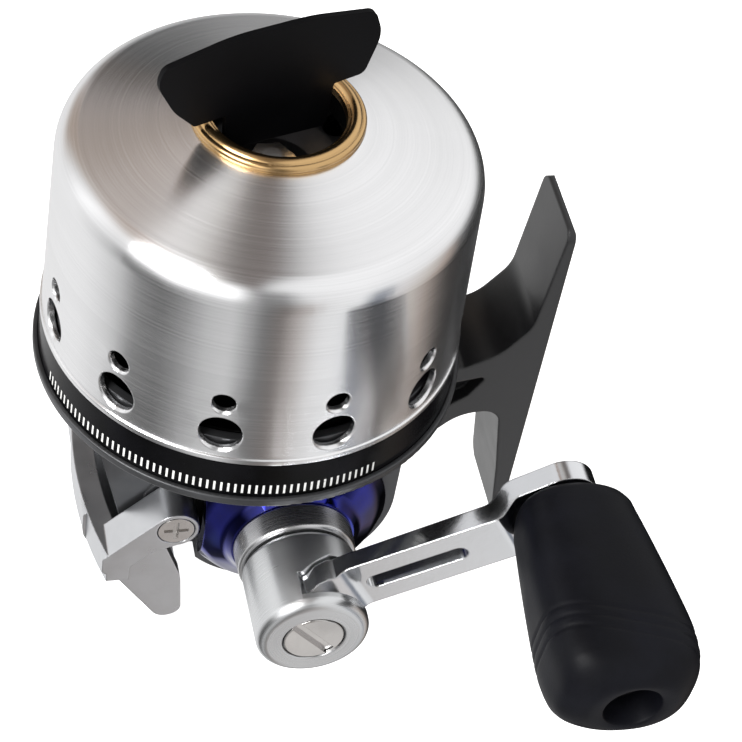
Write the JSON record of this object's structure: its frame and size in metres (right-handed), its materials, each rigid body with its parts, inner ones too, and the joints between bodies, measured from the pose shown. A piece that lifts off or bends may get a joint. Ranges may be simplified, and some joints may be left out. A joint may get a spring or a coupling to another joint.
{
  "type": "spincast reel",
  "caption": "Closed-face fishing reel with a perforated turned cover, gold line ring, thumb lever, cranked handle with soft knob and a rod foot.",
  "frame": {"origin": "middle of the foot's seat face, where the rod touches the reel", "axes": "+Z along the spool axis towards the nose, +X out of the foot's seat towards the rod, handle on the -Y side"},
  "size_m": [0.0962, 0.1183, 0.1297],
  "materials": {
    "turned_aluminium": "turned on a lathe, fine rings, satin",
    "gold_ring": "polished, gold coloured",
    "black_plate": "matte",
    "grey_frame": "satin grey paint on die casting",
    "band_black": "gloss black with a printed scale of plain ticks",
    "graphite": "dark graphite filled moulding, satin",
    "screw_steel": "bright plated",
    "blue_anodised": "deep blue gloss",
    "bronze": "machined bearing bronze",
    "satin_silver": "satin silver",
    "shaft_steel": "ground steel",
    "gear_zinc": "die cast zinc, machined teeth",
    "chrome_bar": "chrome plated",
    "soft_black": "soft-touch matte",
    "bearing_steel": "polished hardened steel",
    "spring_steel": "drawn spring steel",
    "spinner_metal": "dark grey hard coat",
    "spool_black": "moulded black",
    "dial_black": "moulded black, ribbed edge",
    "felt": "pressed felt"
  },
  "bodies": {
    "frame": {"reel_frame": "grey_frame", "label_band": "band_black", "reel_foot": "graphite", "foot_screws": "screw_steel", "right_side_cover": "blue_anodised", "left_side_cover": "blue_anodised", "side_cover_screws": "screw_steel", "right_shaft_bushing": "bronze", "left_shaft_bushing": "bronze", "handle_collar": "satin_silver", "pawl_pin": "shaft_steel", "bearing_outer_race": "bearing_steel", "bearing_balls": "bearing_steel", "pinion_bushing": "bronze", "spool_retainer": "spring_steel", "lever_pivot_screws": "screw_steel", "drag_spring_washer": "spring_steel", "drag_felt": "felt", "drag_plate": "shaft_steel"},
    "cover": {"front_cover": "turned_aluminium", "line_guide_ring": "gold_ring"},
    "keeper": {"line_keeper": "black_plate"},
    "crank": {"handle_shaft": "shaft_steel", "drive_gear": "gear_zinc", "ratchet_wheel": "shaft_steel", "crank_hub": "satin_silver", "crank_arm": "chrome_bar", "handle_screw": "screw_steel", "knob_stud": "shaft_steel", "knob_nut": "screw_steel"},
    "knob": {"handle_knob": "soft_black"},
    "rotor": {"pinion_gear": "bronze", "bearing_inner_race": "bearing_steel", "shaft_return_spring": "spring_steel"},
    "spinner": {"centre_shaft": "shaft_steel", "shaft_clip": "spring_steel", "spinner_head": "spinner_metal", "spinner_nut": "screw_steel", "pin_spring": "spring_steel"},
    "pickup": {"pickup_pin": "bearing_steel"},
    "spool": {"spool": "spool_black"},
    "drag_ring": {"drag_ring": "dial_black"},
    "drag_dial": {"drag_dial": "dial_black"},
    "lever": {"thumb_lever": "satin_silver"},
    "pawl": {"anti_reverse_pawl": "shaft_steel"}
  },
  "joints": [
    {"name": "crank_spin", "type": "hinge", "parent": "frame", "child": "crank", "pos_m": [-0.0454, 0, -0.015], "axis": [0, 1, 0], "continuous": true},
    {"name": "knob_spin", "type": "hinge", "parent": "crank", "child": "knob", "pos_m": [-0.00453, -0.06, 0.00719], "axis": [0, 1, 0], "continuous": true},
    {"name": "rotor_spin", "type": "hinge", "parent": "frame", "child": "rotor", "pos_m": [-0.0509, 0, 0.0155], "axis": [0, 0, 1], "continuous": true},
    {"name": "spinner_push", "type": "slide", "parent": "rotor", "child": "spinner", "axis": [0, 0, 1], "range_m": [0, 0.0028], "deforming": ["shaft_return_spring"]},
    {"name": "pin_retract", "type": "slide", "parent": "spinner", "child": "pickup", "axis": [-1, 0, 0], "range_m": [0, 0.0026]},
    {"name": "spool_slip", "type": "hinge", "parent": "frame", "child": "spool", "pos_m": [-0.0509, 0, 0.0155], "axis": [0, 0, 1], "continuous": true},
    {"name": "drag_dial_turn", "type": "hinge", "parent": "frame", "child": "drag_dial", "pos_m": [-0.06872, 0.01782, 0.0035], "axis": [0, 0, 1], "range_deg": [-150, 150]},
    {"name": "drag_ring_turn", "type": "hinge", "parent": "frame", "child": "drag_ring", "pos_m": [-0.0509, 0, 0.0087], "axis": [0, 0, 1], "range_deg": [-39.5, 39.5]},
    {"name": "thumb_press", "type": "hinge", "parent": "frame", "child": "lever", "pos_m": [-0.0646, 0, -0.0162], "axis": [0, -1, 0], "range_deg": [0, 12.5], "stiffness_Nm_per_rad": 0.6, "springref_deg": -14.32},
    {"name": "pawl_swing", "type": "hinge", "parent": "frame", "child": "pawl", "pos_m": [-0.0574, 0.0093, -0.009], "axis": [0, 1, 0], "range_deg": [0, 5], "stiffness_Nm_per_rad": 0.002, "springref_deg": -2.86},
    {"name": "cover_lift", "type": "slide", "parent": "frame", "child": "cover", "axis": [0, 0, 1], "range_m": [0, 0.06]},
    {"name": "keeper_lift", "type": "slide", "parent": "cover", "child": "keeper", "axis": [0, 0, 1], "range_m": [0, 0.03]}
  ],
  "couplings": [
    {"joint": "rotor_spin", "follows": "crank_spin", "ratio": 4.1},
    {"joint": "spinner_push", "follows": "thumb_press", "m_per_rad": 0.0125},
    {"joint": "pin_retract", "follows": "thumb_press", "m_per_rad": 0.0115},
    {"joint": "drag_ring_turn", "follows": "drag_dial_turn", "ratio": -0.26}
  ]
}
